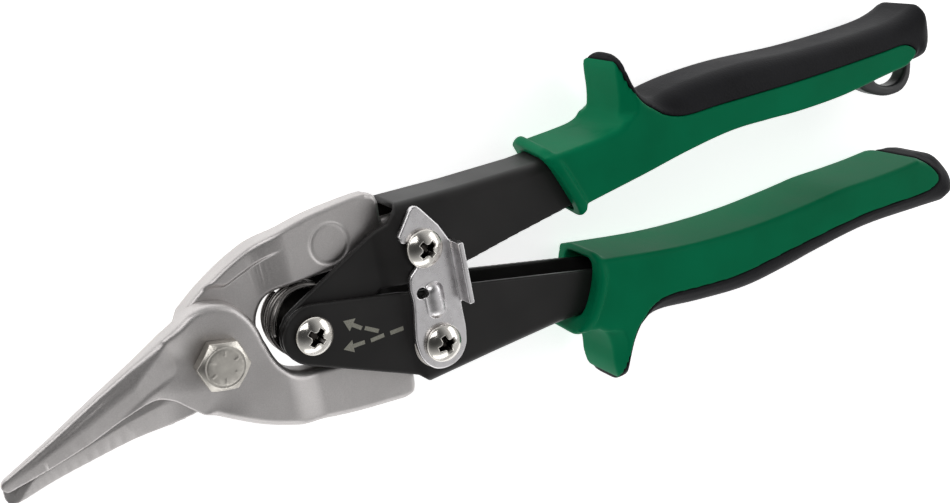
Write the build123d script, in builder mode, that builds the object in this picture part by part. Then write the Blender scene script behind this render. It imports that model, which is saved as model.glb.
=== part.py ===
from build123d import *
import os

# Compound-action aviation snips, closed and latched, lying flat on their back.
# Millimetres. +X runs from the jaw tip to the grips, +Y towards the upper handle,
# +Z up through the pivots. The origin is under the middle of the tool, on the
# surface it lies on. Levels called "z" below are measured from the mid-plane,
# where the two blades slide on each other.

mid_height = 11.6          # mid-plane above the surface the tool lies on
blade_pivot = (-81.0, 0.9)
handle_pivot = (-61.0, 0.0)
link_x = -33.8             # where each blade tail is pinned to its handle
link_y = 11.0

running = 0.05             # radial clearance of a turning fit
blade_gap = 0.05           # each blade's face stands this far off the mid-plane
blade_thick = 4.6          # height of the boss around the pivot bolt
tail_half = 2.2            # half thickness of the blade tails
jaw_tip_thick = 2.4
edge_thick = 0.9           # metal left at the cutting edge

sheet = 1.6                # handle sheet
upper_ear_z = 2.5          # inner face of the upper handle's ears
lower_ear_z = 4.4          # inner face of the lower handle's ears, outside the others
channel_z = 5.3            # inner face of both channels
web_y = 20.2               # outer face of the channel's web at the front
web_front_x = -36.8
ear_radius = 6.6

bolt_radius = 3.0
handle_screw_radius = 2.5
link_screw_radius = 2.0
sleeve_radius = 3.0
open_pivot_play = 0.3      # extra radius in the rear blade, where the loop is open
screw_head_radius = 4.35
screw_head_height = 2.5
latch_bottom = 7.2
latch_sheet = 1.4

grip_half = 10.2           # half width of the grips
flange_half = 11.6
core_inner_y = 15.2        # the handle's core inside the grip
core_outer_y = 23.0
core_end_x = 104.0

os.makedirs("parts", exist_ok=True)


def level(z):
    """The horizontal plane at height z above the mid-plane."""
    return Plane.XY.offset(mid_height + z)


def side_plane(y):
    """A vertical plane facing -Y; its second axis is the height above z = 0."""
    return Plane((0, y, mid_height), x_dir=(1, 0, 0), z_dir=(0, -1, 0))


def save(part, label):
    part.label = label
    export_step(part, "parts/" + label + ".step")


def flip(points, side):
    """Mirror outline points across the tool's axis when side is -1."""
    return [(x, y * side) for x, y in points]


# ---------------------------------------------------------------- blades

lug_radius = 6.4
neck_start = (-71.7, 1.2)
tail_edge = (link_x - 2.4, link_y - 5.93)      # where the tail meets its round lug
step_x = -39.2             # the handle's web stands against this step


def tail_line(side):
    """Inner edge of a tail, its lug round the link sleeve and the step behind it."""
    neck = flip([(-69.2, 7.2), (-61.5, 10.0)], side)
    ThreePointArc(neck_start, *neck)
    edge = [(-61.5, 10.0), (-52.0, 10.0), tail_edge]
    Polyline(*flip(edge, side))
    lug_top = (link_x, link_y + lug_radius)
    lug = [tail_edge, (link_x + lug_radius, link_y), lug_top]
    ThreePointArc(*flip(lug, side))
    heel = [lug_top, (step_x, lug_top[1]), (step_x, 21.4), (-41.0, 23.2)]
    Polyline(*flip(heel, side))


def blade_profile(side):
    """Side view of a blade: full boss and jaw on its own side, tail centred on the mid-plane."""
    outline = [
        (-128.0, blade_gap), (-68.5, blade_gap), (-61.0, -tail_half), (-26.0, -tail_half),
        (-26.0, tail_half), (-60.0, tail_half), (-67.5, blade_thick), (-92.0, blade_thick),
        (-128.0, jaw_tip_thick),
    ]
    return flip(outline, side)


def hollow_plane(side):
    """Plane of the hollow ground into the outer face of a jaw, rising to its spine."""
    edge_height = mid_height + edge_thick * side
    spine_height = mid_height + 4.3 * side
    if side > 0:
        edge_tip = Vector(-127.1, -10.6, edge_height)
        edge_root = Vector(-96.0, -3.0, edge_height)
        spine = Vector(-99.0, 6.0, spine_height)
    else:
        edge_tip = Vector(-127.0, -8.2, edge_height)
        edge_root = Vector(-96.0, -0.4, edge_height)
        spine = Vector(-104.0, -8.0, spine_height)
    along = edge_root - edge_tip
    return Plane(edge_tip, x_dir=along, z_dir=along.cross(spine - edge_tip))


with BuildPart() as front_blade:
    with BuildSketch(level(-blade_thick)):
        with BuildLine():
            Spline((-127.0, -8.2), (-112.0, 1.5), (-99.0, 7.4), (-90.0, 12.4), (-83.5, 14.7),
                   (-77.5, 13.0), (-73.2, 8.0), neck_start)
            tail_line(-1)
            Spline((-41.0, -23.2), (-54.2, -21.5), (-64.5, -19.3), (-75.5, -15.0), (-87.3, -7.9))
            Polyline((-87.3, -7.9), (-92.1, -3.1), (-96.0, -3.0), (-109.0, -7.0), (-127.0, -10.6),
                     (-127.0, -8.2))
        make_face()
    extrude(amount=2 * blade_thick)
    with BuildSketch(side_plane(30)):
        with BuildLine():
            Polyline(*blade_profile(1), close=True)
        make_face()
    extrude(amount=60, mode=Mode.INTERSECT)
    with BuildSketch(hollow_plane(1)):
        with Locations((15.0, 7.0)):
            Rectangle(40.0, 24.0)
    extrude(amount=6, mode=Mode.SUBTRACT)
    with BuildSketch(level(-blade_thick)):
        with Locations(blade_pivot):
            Circle(bolt_radius + running)
        with Locations((link_x, -link_y)):
            Circle(sleeve_radius + running)
    extrude(amount=2 * blade_thick, mode=Mode.SUBTRACT)
save(front_blade.part, "front_blade")

with BuildPart() as rear_blade:
    with BuildSketch(level(-blade_thick)):
        with BuildLine():
            Spline((-125.5, -13.3), (-117.6, -11.6), (-109.0, -10.3), (-100.2, -9.6), (-90.0, -10.6),
                   (-83.5, -11.4), (-76.5, -9.4), (-72.6, -4.6), neck_start)
            tail_line(1)
            Spline((-41.0, 23.2), (-54.5, 22.8), (-63.7, 21.5), (-75.4, 17.9), (-86.0, 11.0))
            Polyline((-86.0, 11.0), (-91.5, 1.2), (-96.0, -0.4), (-109.0, -4.0), (-127.0, -8.2),
                     (-127.0, -12.2), (-125.5, -13.3))
        make_face()
    extrude(amount=2 * blade_thick)
    with BuildSketch(side_plane(30)):
        with BuildLine():
            Polyline(*blade_profile(-1), close=True)
        make_face()
    extrude(amount=60, mode=Mode.INTERSECT)
    with BuildSketch(hollow_plane(-1)):
        with Locations((15.0, -7.0)):
            Rectangle(40.0, 24.0)
    extrude(amount=6, mode=Mode.SUBTRACT)
    with BuildSketch(level(-blade_thick)):
        with Locations(blade_pivot):
            Circle(bolt_radius + running)
        with Locations((link_x, link_y)):
            Circle(sleeve_radius + open_pivot_play)
    extrude(amount=2 * blade_thick, mode=Mode.SUBTRACT)
save(rear_blade.part, "rear_blade")

# ---------------------------------------------------------------- blade pivot

bolt_head_height = 3.2
hex_across_flats = 10.0
washer_thick = 1.2
lock_nut_height = 5.0

with BuildPart() as pivot_bolt:
    with BuildSketch(level(blade_thick)):
        with Locations(blade_pivot):
            RegularPolygon(hex_across_flats / 2, 6, major_radius=False, rotation=6)
    extrude(amount=bolt_head_height)
    chamfer(pivot_bolt.faces().sort_by(Axis.Z)[-1].edges(), 0.45)
    with BuildSketch(level(-mid_height)):
        with Locations(blade_pivot):
            Circle(bolt_radius)
    extrude(amount=mid_height + blade_thick)
    chamfer(pivot_bolt.faces().sort_by(Axis.Z)[0].edges(), 0.5)
save(pivot_bolt.part, "pivot_bolt")

with BuildPart() as pivot_washer:
    with BuildSketch(level(-blade_thick - washer_thick)):
        with Locations(blade_pivot):
            Circle(6.2)
            Circle(bolt_radius + running, mode=Mode.SUBTRACT)
    extrude(amount=washer_thick - 0.02)
save(pivot_washer.part, "pivot_washer")

with BuildPart() as pivot_lock_nut:
    with BuildSketch(level(-blade_thick - washer_thick - lock_nut_height)):
        with Locations(blade_pivot):
            RegularPolygon(hex_across_flats / 2, 6, major_radius=False)
            Circle(bolt_radius, mode=Mode.SUBTRACT)
    extrude(amount=lock_nut_height)
    chamfer(pivot_lock_nut.faces().sort_by(Axis.Z)[0].outer_wire().edges(), 0.8)
save(pivot_lock_nut.part, "pivot_lock_nut")

# ---------------------------------------------------------------- handles


def side_outline(side):
    """Outline of a handle's walls: round ear, rising edge, straight channel, tapered core."""
    hx, hy = handle_pivot
    if side < 0:
        inner = [(-59.4, 6.4), (-23.0, -1.4), (7.0, -8.0), (30.0, -core_inner_y)]
    else:
        inner = [(-58.0, -5.9), (-43.5, 3.6), (-25.0, 3.6), (5.4, 7.2), (30.0, core_inner_y)]
    outer = [(core_end_x, core_inner_y), (core_end_x, core_outer_y), (30.0, core_outer_y),
             (4.0, web_y), (web_front_x, web_y), (-39.6, 17.6), (-63.6, 6.06)]
    with BuildSketch() as outline:
        with BuildLine():
            Polyline(*inner, *flip(outer, side))
            ThreePointArc((-63.6, 6.06 * side), (hx - ear_radius, hy), inner[0])
        make_face()
    return outline.sketch


def wall_profile(ear_z, joggle):
    """Plan section of one wall: ear, joggle and channel at their own distances out."""
    return [
        (-70.0, ear_z), (joggle[0], ear_z), (joggle[1], channel_z), (core_end_x + 1, channel_z),
        (core_end_x + 1, channel_z + sheet), (joggle[1], channel_z + sheet),
        (joggle[0], ear_z + sheet), (-70.0, ear_z + sheet),
    ]


def web_outline(side):
    """The strip of the web that joins the two walls along the outer side."""
    outer = [(web_front_x, web_y), (4.0, web_y), (30.0, core_outer_y), (core_end_x, core_outer_y)]
    inner = [(x, y - sheet) for x, y in reversed(outer)]
    with BuildSketch() as outline:
        with BuildLine():
            Polyline(*flip(outer + inner, side), close=True)
        make_face()
    return outline.sketch


def handle_frame(side, ear_z, joggle):
    """A pressed channel with two ears; side is +1 for the upper handle."""
    with BuildPart() as frame:
        with BuildSketch(level(-12)):
            add(side_outline(side))
        extrude(amount=24)
        with BuildSketch(side_plane(30)):
            for wall in (1, -1):
                with BuildLine():
                    Polyline(*flip(wall_profile(ear_z, joggle), wall), close=True)
                make_face()
        extrude(amount=60, mode=Mode.INTERSECT)
        with BuildSketch(level(-channel_z - sheet)):
            add(web_outline(side))
        extrude(amount=2 * (channel_z + sheet))
        bend = (
            frame.edges()
            .filter_by(lambda edge: abs(edge.center().Y) > web_y - 0.2 and edge.length > 20)
            .filter_by(lambda edge: abs(abs(edge.center().Z - mid_height) - channel_z - sheet) < 0.01)
        )
        fillet(bend, 1.5)
        with BuildSketch(level(-12)):
            with Locations(handle_pivot):
                Circle(handle_screw_radius + running)
            with Locations((link_x, link_y * side)):
                Circle(link_screw_radius + running)
        extrude(amount=24, mode=Mode.SUBTRACT)
    return frame.part


save(handle_frame(-1, lower_ear_z, (-41.5, -39.5)), "lower_handle_frame")
save(handle_frame(1, upper_ear_z, (-42.0, -38.0)), "upper_handle_frame")

# ---------------------------------------------------------------- handle pivot and links


def pan_screw(center, seat_z, radius, tip_z, shoulder_z=None, shoulder_radius=0.0):
    """Domed cross-recess screw with its head's underside at seat_z."""
    with BuildPart() as screw:
        with BuildSketch(level(seat_z)):
            with Locations(center):
                Circle(screw_head_radius)
        extrude(amount=screw_head_height)
        fillet(screw.faces().sort_by(Axis.Z)[-1].edges(), screw_head_height * 0.85)
        with BuildSketch(level(seat_z + screw_head_height)):
            with Locations(center):
                Rectangle(4.4, 1.1, rotation=30)
                Rectangle(1.1, 4.4, rotation=30)
        extrude(amount=-1.6, mode=Mode.SUBTRACT)
        with BuildSketch(level(tip_z)):
            with Locations(center):
                Circle(radius)
        extrude(amount=seat_z - tip_z)
        chamfer(screw.faces().sort_by(Axis.Z)[0].edges(), 0.4)
        if shoulder_z is not None:
            with BuildSketch(level(shoulder_z)):
                with Locations(center):
                    Circle(shoulder_radius)
            extrude(amount=seat_z - shoulder_z)
    return screw.part


def hex_nut(center, top_z, height, across_flats, radius):
    with BuildPart() as nut:
        with BuildSketch(level(top_z - height)):
            with Locations(center):
                RegularPolygon(across_flats / 2, 6, major_radius=False)
                Circle(radius, mode=Mode.SUBTRACT)
        extrude(amount=height)
        chamfer(nut.faces().sort_by(Axis.Z)[0].outer_wire().edges(), 0.5)
    return nut.part


def ring(center, bottom_z, top_z, outer_radius, inner_radius):
    with BuildPart() as tube:
        with BuildSketch(level(bottom_z)):
            with Locations(center):
                Circle(outer_radius)
                Circle(inner_radius, mode=Mode.SUBTRACT)
        extrude(amount=top_z - bottom_z)
    return tube.part


ear_top = lower_ear_z + sheet
save(pan_screw(handle_pivot, ear_top, handle_screw_radius, -10.4), "handle_pivot_screw")
save(hex_nut(handle_pivot, -ear_top, 4.0, 8.0, handle_screw_radius), "handle_pivot_nut")
save(ring(handle_pivot, -upper_ear_z + 0.05, upper_ear_z - 0.05, 4.4, handle_screw_radius + running),
     "spring_sleeve")

channel_top = channel_z + sheet
latch_head_seat = latch_bottom + latch_sheet + 0.1
link_shoulder_radius = 2.3
latch_shoulder_radius = 3.0

for name, side, shoulder in (("upper", 1, link_shoulder_radius), ("lower", -1, latch_shoulder_radius)):
    center = (link_x, link_y * side)
    save(pan_screw(center, latch_head_seat, link_screw_radius, -11.0, channel_top, shoulder),
         name + "_link_screw")
    save(hex_nut(center, -channel_top, 3.5, 7.0, link_screw_radius), name + "_link_nut")
    save(ring(center, -channel_z + 0.05, channel_z - 0.05, sleeve_radius, link_screw_radius + running),
         name + "_link_sleeve")
    with BuildPart() as spacers:
        for bottom in (-channel_z + 0.05, tail_half + 0.05):
            with BuildSketch(level(bottom)):
                with Locations(center):
                    Circle(4.1)
                    Circle(sleeve_radius, mode=Mode.SUBTRACT)
            extrude(amount=channel_z - tail_half - 0.1)
    save(spacers.part, name + "_link_spacers")

# ---------------------------------------------------------------- opening spring

wire_radius = 0.6
coil_radius = 7.9
coil_count = 4
coil_pitch = wire_radius * 1.9         # neighbouring turns just touch
coil_top = (coil_count - 1) / 2 * coil_pitch
leg_length = 8.5
leg_spread = 0.06

with BuildPart() as opening_spring:
    coil_center = (handle_pivot[0], handle_pivot[1], mid_height)
    with BuildSketch(Plane(coil_center, x_dir=(1, 0, 0), z_dir=(0, -1, 0))):
        for turn in range(coil_count):
            with Locations((coil_radius, turn * coil_pitch - coil_top)):
                Circle(wire_radius)
    revolve(axis=Axis(coil_center, (0, 0, 1)))
    for side in (1, -1):
        leg_start = (handle_pivot[0], side * coil_radius, mid_height + side * coil_top)
        with BuildSketch(Plane(leg_start, x_dir=(0, 1, 0), z_dir=(1, leg_spread * side, 0))):
            Circle(wire_radius)
        extrude(amount=leg_length)
save(opening_spring.part, "opening_spring")

# ---------------------------------------------------------------- latch

notch_radius = link_shoulder_radius + 0.25
notch_tilt = 25            # the catch rises as the screw leaves it

with BuildPart() as latch_plate:
    with BuildSketch(level(latch_bottom)):
        with BuildLine():
            Polyline((-27.4, -9.0), (-27.4, 11.0), (-29.2, 14.8), (-33.0, 19.9))
            ThreePointArc((-33.0, 19.9), (-34.6, 20.6), (-35.8, 20.0))
            Polyline((-35.8, 20.0), (-39.0, 15.6), (-38.6, 6.0), (-39.0, 0.0), (-40.0, -9.0))
            ThreePointArc((-40.0, -9.0), (-33.7, -17.3), (-27.4, -9.0))
        make_face()
        with Locations((link_x, -link_y)):
            Circle(latch_shoulder_radius + running, mode=Mode.SUBTRACT)
        with Locations((link_x, link_y)):
            Circle(notch_radius, mode=Mode.SUBTRACT)
        with Locations(Location((link_x, link_y), 180 - notch_tilt)):
            with Locations((5.0, 0.0)):
                Rectangle(10.0, 2 * notch_radius, mode=Mode.SUBTRACT)
        with Locations((-36.1, 1.4)):
            Circle(1.2, mode=Mode.SUBTRACT)
    extrude(amount=latch_sheet)
    with BuildSketch(level(latch_bottom + latch_sheet)):
        with Locations((-33.2, -0.6)):
            SlotOverall(6.4, 3.6, rotation=90)
    extrude(amount=1.1, taper=20)
    with BuildSketch(level(latch_bottom)):
        with Locations((-26.7, 3.6)):
            Rectangle(latch_sheet, 14.0)
    extrude(amount=5.4)
save(latch_plate.part, "latch_plate")

save(ring((link_x, -link_y), channel_top, latch_bottom - 0.02, 6.0, latch_shoulder_radius + running),
     "latch_washer")

# ---------------------------------------------------------------- grips


def lower_grip_outline():
    with BuildSketch() as outline:
        with BuildLine():
            Spline((10.6, -7.0), (28.0, -10.3), (50.0, -12.7), (73.0, -12.4), (88.0, -12.2),
                   (104.0, -13.0), (116.0, -15.0))
            ThreePointArc((116.0, -15.0), (126.8, -19.0), (124.6, -27.0))
            Spline((124.6, -27.0), (103.0, -26.2), (88.0, -25.8), (66.0, -27.4), (50.0, -28.2),
                   (36.0, -27.0), (22.5, -26.0))
            Spline((22.5, -26.0), (17.5, -30.5), (14.0, -37.2))
            ThreePointArc((14.0, -37.2), (11.6, -39.3), (8.6, -36.8))
            Polyline((8.6, -36.8), (5.4, -21.6), (-1.0, -21.6), (10.6, -7.0))
        make_face()
    return outline.sketch


def upper_grip_outline():
    with BuildSketch() as outline:
        with BuildLine():
            Spline((7.4, 7.2), (24.0, 9.9), (38.0, 11.8), (50.0, 12.8), (60.0, 12.6), (73.0, 12.2),
                   (88.0, 12.0), (102.0, 13.0), (113.0, 15.0))
            ThreePointArc((113.0, 15.0), (122.0, 20.0), (119.5, 27.0))
            Spline((119.5, 27.0), (103.0, 26.2), (88.0, 25.6), (66.0, 26.6), (50.0, 27.6), (36.0, 27.0))
            Spline((36.0, 27.0), (31.5, 31.5), (28.6, 37.2))
            ThreePointArc((28.6, 37.2), (25.4, 39.3), (22.2, 36.6))
            Polyline((22.2, 36.6), (20.0, 23.6), (-3.4, 21.6), (7.4, 7.2))
        make_face()
    return outline.sketch


def core_block(side):
    """The handle's core, which fills the inside of its grip."""
    inner = [(-12.0, 3.0), (7.0, 6.6), (30.0, core_inner_y), (core_end_x, core_inner_y)]
    outer = [(core_end_x, core_outer_y), (30.0, core_outer_y), (4.0, web_y), (-12.0, web_y)]
    with BuildPart() as core:
        with BuildSketch(level(-channel_top)):
            with BuildLine():
                Polyline(*flip(inner + outer, side), close=True)
            make_face()
        extrude(amount=2 * channel_top)
    return core.part


def palm_block(side, split):
    """Everything outside the line where the hard shell meets the soft palm cover."""
    far_x = 130.0
    far_y = 45.0 * side
    with BuildPart() as palm:
        with BuildSketch(level(-grip_half - 1)):
            with BuildLine():
                Spline(*split)
                Polyline(split[-1], (split[-1][0], 10.0 * side), (far_x, 10.0 * side), (far_x, far_y),
                         (split[0][0], far_y), split[0])
            make_face()
        extrude(amount=2 * grip_half + 2)
    return palm.part


lower_split = [(9.5, -38.4), (14.6, -28.6), (20.5, -21.6), (30.0, -20.8), (48.0, -22.4), (76.0, -20.8),
               (112.0, -21.6), (118.0, -18.6), (114.6, -14.6)]
upper_split = [(20.2, 38.6), (25.6, 28.4), (31.5, 22.0), (42.0, 20.2), (60.0, 20.2), (84.0, 19.6),
               (108.0, 20.0), (114.0, 17.6), (111.4, 14.2)]

loop_half = 2.2
loop_left = 96.5
loop_right = 119.5
loop_root = 16.0           # how far the loop's root bar reaches into the grip

with BuildPart() as loop_seat:
    with BuildSketch(level(-loop_half)):
        with Locations(((loop_left + loop_right) / 2, loop_root - 3.0)):
            Rectangle(loop_right - loop_left, 6.0)
    extrude(amount=2 * loop_half)


def grip(name, side, outline, split, flange):
    """Hard shell with collar and finger guard, and the soft cover over its palm side."""
    (inner_x, inner_y), (outer_x, outer_y), flange_thick = flange
    with BuildPart() as body:
        with BuildSketch(level(-grip_half)):
            add(outline)
        extrude(amount=2 * grip_half)
        chamfer(body.faces().filter_by(Axis.Z).edges(), 1.2)
        add(core_block(side), mode=Mode.SUBTRACT)
        if side > 0:
            add(loop_seat.part, mode=Mode.SUBTRACT)
    with BuildPart() as shell:
        add(body.part)
        add(palm_block(side, split), mode=Mode.SUBTRACT)
        with BuildSketch(level(-flange_half)):
            with BuildLine():
                Polyline((inner_x, inner_y), (outer_x, outer_y), (outer_x + flange_thick, outer_y),
                         (inner_x + flange_thick, inner_y), close=True)
            make_face()
        extrude(amount=2 * flange_half)
        add(core_block(side), mode=Mode.SUBTRACT)
    save(shell.part, name + "_grip_shell")
    with BuildPart() as cover:
        add(body.part)
        add(palm_block(side, split), mode=Mode.INTERSECT)
    save(cover.part, name + "_grip_cover")


grip("lower", -1, lower_grip_outline(), lower_split, ((11.4, -5.0), (-3.6, -22.4), 3.0))
grip("upper", 1, upper_grip_outline(), upper_split, ((6.4, 5.4), (-6.2, 24.0), 3.0))

with BuildPart() as hang_loop:
    with BuildSketch(level(-loop_half)):
        with BuildLine():
            Polyline((loop_left, loop_root), (loop_left, 11.0), (106.0, 4.8), (114.4, 4.6))
            ThreePointArc((114.4, 4.6), (117.8, 6.2), (loop_right, 10.0))
            Polyline((loop_right, 10.0), (loop_right, loop_root), (loop_left, loop_root))
        make_face()
        with BuildLine():
            Polyline((104.0, 13.2), (104.0, 9.0), (107.0, 7.6), (112.4, 7.4), (115.0, 9.6), (115.0, 13.2),
                     close=True)
        make_face(mode=Mode.SUBTRACT)
    extrude(amount=2 * loop_half)
save(hang_loop.part, "hang_loop")
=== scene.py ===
"""Aviation snips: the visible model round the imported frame.

Shapes are given in millimetres, in the frame of the CAD, with heights measured from the
mid-plane where the two blades slide on each other. Each forged, pressed or moulded piece is
a distance field that is turned into a mesh with smooth rounded edges.
"""

import math

import bmesh
import bpy
import numpy as np
from mathutils import Matrix, Vector


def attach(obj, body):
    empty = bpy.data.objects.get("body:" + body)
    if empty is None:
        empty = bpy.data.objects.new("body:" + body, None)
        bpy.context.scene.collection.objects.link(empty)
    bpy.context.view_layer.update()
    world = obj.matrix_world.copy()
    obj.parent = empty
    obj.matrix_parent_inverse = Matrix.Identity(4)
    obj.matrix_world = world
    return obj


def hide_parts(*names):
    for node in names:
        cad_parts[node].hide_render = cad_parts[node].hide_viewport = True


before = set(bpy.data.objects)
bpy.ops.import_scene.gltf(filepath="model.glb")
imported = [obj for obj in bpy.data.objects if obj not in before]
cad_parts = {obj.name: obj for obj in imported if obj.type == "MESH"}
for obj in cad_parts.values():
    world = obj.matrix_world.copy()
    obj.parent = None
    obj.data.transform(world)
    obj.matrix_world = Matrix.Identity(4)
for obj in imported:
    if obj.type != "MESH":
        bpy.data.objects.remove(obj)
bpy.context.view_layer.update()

MM = 0.001
MID = 11.6
BOLT = (-81.0, 0.9)
PIVOT = (-61.0, 0.0)
LINK_X = -33.8
LINK_Y = 11.0
CHANNEL_TOP = 6.9
EAR_TOP = 6.0
LATCH_BOTTOM = 7.2
LATCH_TOP = 8.6
HEAD_SEAT = 8.7
GRIP_HALF = 10.2
COLLAR_HALF = 11.4
BLADE_TOP = 4.6
TAIL_FACE = 2.2
TAIL_LEAN = 0.045
BOLT_HOLE = 3.05
LUG_RADIUS = 6.4
EAR_RADIUS = 6.6
SHEET = 1.6
WALL_UNDER = 5.3
WEB_START = -37.0
CHANNEL_END = 104.0
HEAD_RADIUS = 4.35
HEAD_HEIGHT = 2.5
HEAD_DOME = 6.4
HEX_HALF = 5.0
HEX_TURN = 18
BOLT_TOP = 7.8
LENS_PX = 1350
PHOTO_PX = 950


# ---------------------------------------------------------------- fields

def smooth(t):
    """A soft step from 0 to 1."""
    t = np.clip(t, 0.0, 1.0)
    return t * t * (3 - 2 * t)


def soft_max(a, b, k):
    """The larger of two fields, blended over a width of k."""
    h = np.clip(0.5 + 0.5 * (a - b) / k, 0, 1)
    return b * (1 - h) + a * h + k * h * (1 - h)


def soft_min(a, b, k):
    return -soft_max(-a, -b, k)


def corner(a, b, r):
    """Intersection of two half spaces whose edge is rounded with radius r."""
    p = a + r
    q = b + r
    return np.minimum(np.maximum(p, q), 0) + np.hypot(np.maximum(p, 0), np.maximum(q, 0)) - r


def curve(points, steps=6):
    """A smooth open line through the points."""
    p = [np.array(q, float) for q in points]
    p = [2 * p[0] - p[1]] + p + [2 * p[-1] - p[-2]]
    line = []
    for i in range(1, len(p) - 2):
        a, b, c, d = p[i - 1:i + 3]
        for t in np.arange(steps) / steps:
            line.append(0.5 * (2 * b + (c - a) * t + (2 * a - 5 * b + 4 * c - d) * t ** 2
                               + (3 * b - a - 3 * c + d) * t ** 3))
    return [tuple(q) for q in line + [p[-2]]]


def arc(center, radius, start, end, steps=10):
    """Points on a circle from one angle to another, in degrees."""
    angles = np.radians(np.linspace(start, end, steps + 1))
    return [(center[0] + radius * math.cos(a), center[1] + radius * math.sin(a)) for a in angles]


def flip(points, side):
    """The points, mirrored in the middle line when side is -1."""
    return [(x, y * side) for x, y in points]


def line_distance(points):
    """Distance to an open line."""
    def distance(x, y):
        best = np.full(np.broadcast(x, y).shape, 1e9)
        for (ax, ay), (bx, by) in zip(points, points[1:]):
            ex, ey = bx - ax, by - ay
            px, py = x - ax, y - ay
            t = np.clip((px * ex + py * ey) / (ex * ex + ey * ey + 1e-12), 0, 1)
            best = np.minimum(best, (px - t * ex) ** 2 + (py - t * ey) ** 2)
        return np.sqrt(best)
    return distance


def polygon(points):
    """Signed distance to a closed outline, negative inside."""
    edge = line_distance(list(points) + [points[0]])

    def distance(x, y):
        inside = np.zeros(np.broadcast(x, y).shape, bool)
        for (ax, ay), (bx, by) in zip(points, points[1:] + points[:1]):
            if ay != by:
                inside ^= ((ay > y) != (by > y)) & (x < ax + (bx - ax) * (y - ay) / (by - ay))
        d = edge(x, y)
        return np.where(inside, -d, d)
    return distance


# ---------------------------------------------------------------- meshes

def sample(grid, p):
    """Value of the grid between its points; p counts in cells."""
    low = np.clip(np.floor(p).astype(int), 0, np.array(grid.shape) - 2)
    t = np.clip(p - low, 0, 1)
    total = 0
    for k in np.ndindex(2, 2, 2):
        w = np.prod(np.where(k, t, 1 - t), axis=1)
        total = total + w * grid[low[:, 0] + k[0], low[:, 1] + k[1], low[:, 2] + k[2]]
    return total


def slope(grid, p, reach=0.7):
    """Unit normal of the field at p."""
    g = np.stack([sample(grid, p + reach * a) - sample(grid, p - reach * a) for a in np.eye(3)], 1)
    return g / np.maximum(np.linalg.norm(g, axis=1, keepdims=True), 1e-9)


def surface(grid):
    """Quads round the cells that the zero level passes through."""
    inside = grid < 0
    cells_shape = tuple(n - 1 for n in grid.shape)
    count = np.zeros(cells_shape, np.int8)
    for k in np.ndindex(2, 2, 2):
        part = tuple(slice(a, a + n) for a, n in zip(k, cells_shape))
        count += inside[part]
    mixed = (count > 0) & (count < 8)
    cells = np.argwhere(mixed)
    index = np.full(cells_shape, -1)
    index[mixed] = np.arange(len(cells))
    total = np.zeros((len(cells), 3))
    hits = np.zeros((len(cells), 1))
    for axis in range(3):
        step = np.eye(3, dtype=int)[axis]
        for k in np.ndindex(2, 2, 2):
            if k[axis]:
                continue
            a = cells + k
            b = a + step
            fa = grid[tuple(a.T)]
            fb = grid[tuple(b.T)]
            cross = (fa < 0) != (fb < 0)
            t = np.where(cross, fa / np.where(fa == fb, 1, fa - fb), 0)[:, None]
            total += np.where(cross[:, None], np.array(k) + t * step, 0)
            hits += cross[:, None]
    verts = cells + total / np.maximum(hits, 1)
    quads = []
    for axis in range(3):
        u, v = (axis + 1) % 3, (axis + 2) % 3
        a = np.moveaxis(inside, (axis, u, v), (0, 1, 2))
        ids = np.moveaxis(index, (axis, u, v), (0, 1, 2))
        cross = a[:-1, 1:-1, 1:-1] != a[1:, 1:-1, 1:-1]
        where = np.argwhere(cross)
        i, j, k = where[:, 0], where[:, 1] + 1, where[:, 2] + 1
        quad = np.stack([ids[i, j - 1, k - 1], ids[i, j, k - 1], ids[i, j, k], ids[i, j - 1, k]], 1)
        out = a[i, j, k]
        quads.append(np.where(out[:, None], quad, quad[:, ::-1]))
    return verts, np.concatenate(quads)


def add_object(name, mesh, body, material, nodes):
    obj = bpy.data.objects.new(name, mesh)
    bpy.context.scene.collection.objects.link(obj)
    mesh.materials.append(material)
    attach(obj, body)
    if nodes:
        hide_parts(*nodes)
    return obj


def solid(name, field, low, high, step, keep, body, material, nodes=()):
    """A piece from a distance field over the box low..high; keep is the share of faces kept."""
    axes = [np.arange(a, b + step, step) for a, b in zip(low, high)]
    x, y, z = np.meshgrid(*axes, indexing="ij", sparse=True)
    grid = np.broadcast_to(field(x, y, z), tuple(len(a) for a in axes)).astype(np.float32)
    verts, quads = surface(grid)

    def settle(p):
        for _ in range(2):
            p = p - slope(grid, p) * (sample(grid, p) / step)[:, None]
        return p

    verts = settle(verts)
    dense = bpy.data.meshes.new(name)
    dense.from_pydata((verts * step).tolist(), [], quads.tolist())
    holder = bpy.data.objects.new(name + "_dense", dense)
    bpy.context.scene.collection.objects.link(holder)
    thin = holder.modifiers.new("thin", "DECIMATE")
    thin.ratio = keep
    holder_eval = holder.evaluated_get(bpy.context.evaluated_depsgraph_get())
    mesh = bpy.data.meshes.new_from_object(holder_eval)
    bpy.data.objects.remove(holder)
    bpy.data.meshes.remove(dense)
    mesh.name = name
    co = np.zeros(len(mesh.vertices) * 3)
    mesh.vertices.foreach_get("co", co)
    co = settle(co.reshape(-1, 3) / step)
    normals = slope(grid, co)
    place = (co * step + np.array(low) + (0, 0, MID)) * MM
    mesh.vertices.foreach_set("co", place.ravel())
    mesh.update()
    mesh.shade_smooth()
    mesh.normals_split_custom_set_from_vertices(normals.tolist())
    return add_object(name, mesh, body, material, nodes)


# ---------------------------------------------------------------- materials

def shader(name, color, metallic, roughness):
    material = bpy.data.materials.new(name)
    material.use_nodes = True
    tree = material.node_tree
    bsdf = tree.nodes["Principled BSDF"]
    bsdf.inputs["Base Color"].default_value = (*color, 1)
    bsdf.inputs["Metallic"].default_value = metallic
    bsdf.inputs["Roughness"].default_value = roughness
    return material, tree, bsdf


def node(tree, kind, **values):
    made = tree.nodes.new(kind)
    for key, value in values.items():
        if key in made.inputs:
            made.inputs[key].default_value = value
        else:
            setattr(made, key, value)
    return made


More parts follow.
